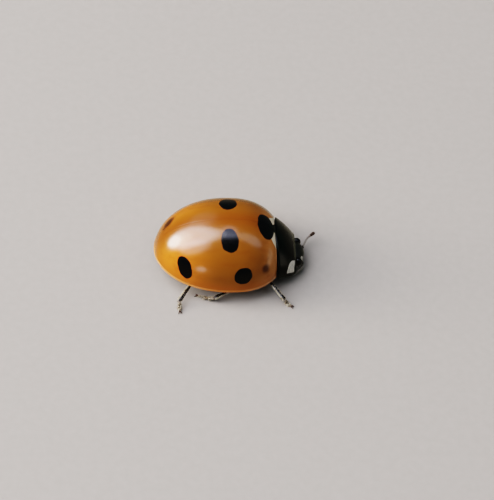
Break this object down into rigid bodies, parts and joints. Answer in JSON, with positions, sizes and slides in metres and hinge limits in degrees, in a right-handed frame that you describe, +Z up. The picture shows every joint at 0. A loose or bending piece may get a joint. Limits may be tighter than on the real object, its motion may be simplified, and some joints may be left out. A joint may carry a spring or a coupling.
{
  "type": "seven-spot ladybird",
  "caption": "Standing ladybird beetle: domed orange wing cases with black spots, black pronotum with white corners, small head with short clubbed feelers, jointed legs spread at the sides.",
  "frame": {"origin": "on the ground below the middle of the animal's bounding box", "axes": "+X towards the head, +Y towards the animal's left, +Z up; the feet stand on z = 0"},
  "size_m": [0.0084, 0.007, 0.0036],
  "materials": {
    "wing_case": "glossy orange wing case with black spots and a pale rim",
    "black_plate": "glossy black plate, with off-white corner patches on the pronotum",
    "underside": "satin black belly plates",
    "leg": "satin black legs with fine hairs",
    "eye": "glossy black eye of many small facets",
    "feeler": "brown feeler, darker towards its club"
  },
  "bodies": {
    "root": {"abdomen": "underside", "antenna_left": "feeler", "antenna_right": "feeler", "coxa_left_front": "leg", "coxa_left_hind": "leg", "coxa_left_middle": "leg", "coxa_right_front": "leg", "coxa_right_hind": "leg", "coxa_right_middle": "leg", "elytron_left": "wing_case", "elytron_right": "wing_case", "eye_left": "eye", "eye_right": "eye", "femur_left_front": "leg", "femur_left_hind": "leg", "femur_left_middle": "leg", "femur_right_front": "leg", "femur_right_hind": "leg", "femur_right_middle": "leg", "head": "black_plate", "labrum": "black_plate", "mandible_left": "black_plate", "mandible_right": "black_plate", "palp_left": "feeler", "palp_right": "feeler", "pronotum": "black_plate", "prosternum": "underside", "scutellum": "black_plate", "tarsus_left_front": "leg", "tarsus_left_hind": "leg", "tarsus_left_middle": "leg", "tarsus_right_front": "leg", "tarsus_right_hind": "leg", "tarsus_right_middle": "leg", "thorax": "underside", "tibia_left_front": "leg", "tibia_left_hind": "leg", "tibia_left_middle": "leg", "tibia_right_front": "leg", "tibia_right_hind": "leg", "tibia_right_middle": "leg"}
  },
  "joints": []
}
